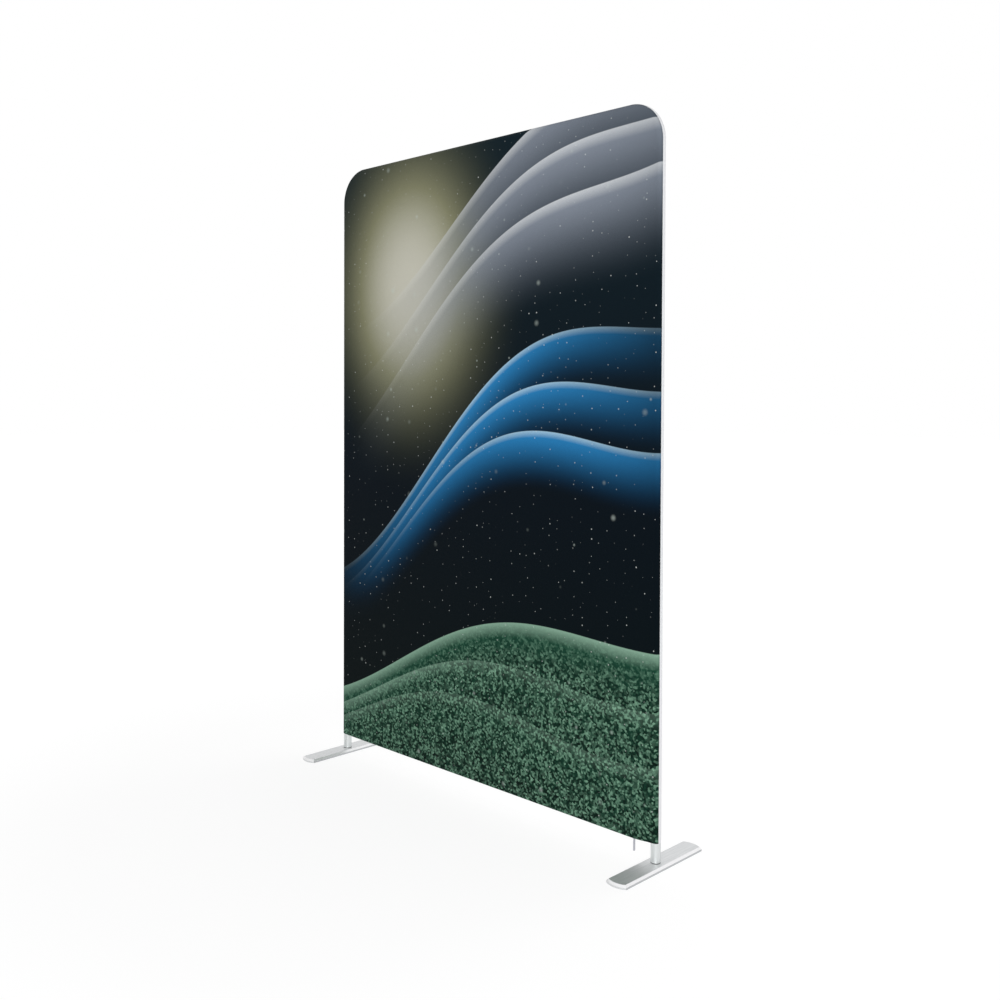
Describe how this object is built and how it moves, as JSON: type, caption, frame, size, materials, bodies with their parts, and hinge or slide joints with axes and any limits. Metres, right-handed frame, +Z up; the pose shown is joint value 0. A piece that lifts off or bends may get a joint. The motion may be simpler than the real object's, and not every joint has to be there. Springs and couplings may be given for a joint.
{
  "type": "fabric tube display",
  "caption": "Free-standing room screen: a stretch fabric cover zipped over a snap-together tube frame with rounded top corners, standing on flat metal feet.",
  "frame": {"origin": "on the floor, midway between the two poles", "axes": "+X to the viewer's right along the width, -Y to the printed front, +Z up"},
  "size_m": [1.564, 0.395, 2.264],
  "materials": {
    "silver_tube": "satin anodised",
    "spigot_tube": "mill finish",
    "cast_aluminium": "machined",
    "rivet_aluminium": "bright",
    "foot_steel": "satin silver",
    "turned_steel": "turned",
    "zinc_steel": "zinc plated",
    "nickel_steel": "nickel plated",
    "spring_steel": "blued",
    "black_plastic": "moulded",
    "foot_rubber": "matt",
    "printed_fabric": "printed stretch polyester",
    "white_fabric": "white stretch polyester",
    "zip_tape": "woven tape",
    "zip_nylon": "nylon coil",
    "zip_metal": "grey enamel"
  },
  "bodies": {
    "frame": {"left_lower_pole": "silver_tube", "left_upper_pole": "silver_tube", "left_corner_tube": "silver_tube", "left_bottom_bar": "silver_tube", "left_bar_stub": "cast_aluminium", "left_pole_bush": "black_plastic", "right_lower_pole": "silver_tube", "right_upper_pole": "silver_tube", "right_corner_tube": "silver_tube", "right_bottom_bar": "silver_tube", "right_bar_stub": "cast_aluminium", "right_pole_bush": "black_plastic", "top_rail": "silver_tube", "left_pole_spigot": "spigot_tube", "left_corner_spigot": "spigot_tube", "left_rail_spigot": "spigot_tube", "right_pole_spigot": "spigot_tube", "right_corner_spigot": "spigot_tube", "right_rail_spigot": "spigot_tube", "bar_centre_spigot": "spigot_tube", "left_pole_button_spring": "spring_steel", "left_corner_button_spring": "spring_steel", "left_rail_button_spring": "spring_steel", "left_bar_button_spring": "spring_steel", "right_pole_button_spring": "spring_steel", "right_corner_button_spring": "spring_steel", "right_rail_button_spring": "spring_steel", "right_bar_button_spring": "spring_steel", "bar_centre_button_spring": "spring_steel", "spigot_rivets": "rivet_aluminium", "bar_stub_screws": "zinc_steel", "bar_stub_washers": "zinc_steel", "front_panel": "printed_fabric", "back_panel": "white_fabric", "zip_front_tape": "zip_tape", "zip_back_tape": "zip_tape", "zip_coils": "zip_nylon", "zip_stops": "zip_metal"},
    "left_foot": {"left_foot_plate": "foot_steel", "left_foot_post": "turned_steel", "left_foot_screw": "zinc_steel", "left_foot_pads": "foot_rubber"},
    "right_foot": {"right_foot_plate": "foot_steel", "right_foot_post": "turned_steel", "right_foot_screw": "zinc_steel", "right_foot_pads": "foot_rubber"},
    "zip_slider": {"zip_slider": "zip_metal"},
    "zip_pull": {"zip_pull": "zip_metal"},
    "left_pole_button": {"left_pole_button": "nickel_steel"},
    "left_corner_button": {"left_corner_button": "nickel_steel"},
    "left_rail_button": {"left_rail_button": "nickel_steel"},
    "left_bar_button": {"left_bar_button": "nickel_steel"},
    "right_pole_button": {"right_pole_button": "nickel_steel"},
    "right_corner_button": {"right_corner_button": "nickel_steel"},
    "right_rail_button": {"right_rail_button": "nickel_steel"},
    "right_bar_button": {"right_bar_button": "nickel_steel"},
    "bar_centre_button": {"bar_centre_button": "nickel_steel"}
  },
  "joints": [
    {"name": "left_foot_swivel", "type": "hinge", "parent": "frame", "child": "left_foot", "pos_m": [-0.746, 0, 0.0145], "axis": [0, 0, 1], "continuous": true},
    {"name": "right_foot_swivel", "type": "hinge", "parent": "frame", "child": "right_foot", "pos_m": [0.746, 0, 0.0145], "axis": [0, 0, 1], "continuous": true},
    {"name": "zip_slide", "type": "slide", "parent": "frame", "child": "zip_slider", "axis": [1, 0, 0], "range_m": [-1.333, 0]},
    {"name": "zip_pull_swing", "type": "hinge", "parent": "zip_slider", "child": "zip_pull", "pos_m": [0.6665, 0, 0.0624], "axis": [0, 1, 0], "range_deg": [-85, 85]},
    {"name": "left_pole_button_press", "type": "slide", "parent": "frame", "child": "left_pole_button", "axis": [-1, 0, 0], "range_m": [0, 0.0042], "stiffness_N_per_m": 1200, "springref_m": -0.002, "deforming": ["left_pole_button_spring"]},
    {"name": "left_corner_button_press", "type": "slide", "parent": "frame", "child": "left_corner_button", "axis": [-1, 0, 0], "range_m": [0, 0.0042], "stiffness_N_per_m": 1200, "springref_m": -0.002, "deforming": ["left_corner_button_spring"]},
    {"name": "left_rail_button_press", "type": "slide", "parent": "frame", "child": "left_rail_button", "axis": [0, 0, 1], "range_m": [0, 0.0042], "stiffness_N_per_m": 1200, "springref_m": -0.002, "deforming": ["left_rail_button_spring"]},
    {"name": "left_bar_button_press", "type": "slide", "parent": "frame", "child": "left_bar_button", "axis": [0, 0, -1], "range_m": [0, 0.0042], "stiffness_N_per_m": 1200, "springref_m": -0.002, "deforming": ["left_bar_button_spring"]},
    {"name": "right_pole_button_press", "type": "slide", "parent": "frame", "child": "right_pole_button", "axis": [1, 0, 0], "range_m": [0, 0.0042], "stiffness_N_per_m": 1200, "springref_m": -0.002, "deforming": ["right_pole_button_spring"]},
    {"name": "right_corner_button_press", "type": "slide", "parent": "frame", "child": "right_corner_button", "axis": [1, 0, 0], "range_m": [0, 0.0042], "stiffness_N_per_m": 1200, "springref_m": -0.002, "deforming": ["right_corner_button_spring"]},
    {"name": "right_rail_button_press", "type": "slide", "parent": "frame", "child": "right_rail_button", "axis": [0, 0, 1], "range_m": [0, 0.0042], "stiffness_N_per_m": 1200, "springref_m": -0.002, "deforming": ["right_rail_button_spring"]},
    {"name": "right_bar_button_press", "type": "slide", "parent": "frame", "child": "right_bar_button", "axis": [0, 0, -1], "range_m": [0, 0.0042], "stiffness_N_per_m": 1200, "springref_m": -0.002, "deforming": ["right_bar_button_spring"]},
    {"name": "bar_centre_button_press", "type": "slide", "parent": "frame", "child": "bar_centre_button", "axis": [0, 0, -1], "range_m": [0, 0.0042], "stiffness_N_per_m": 1200, "springref_m": -0.002, "deforming": ["bar_centre_button_spring"]}
  ]
}
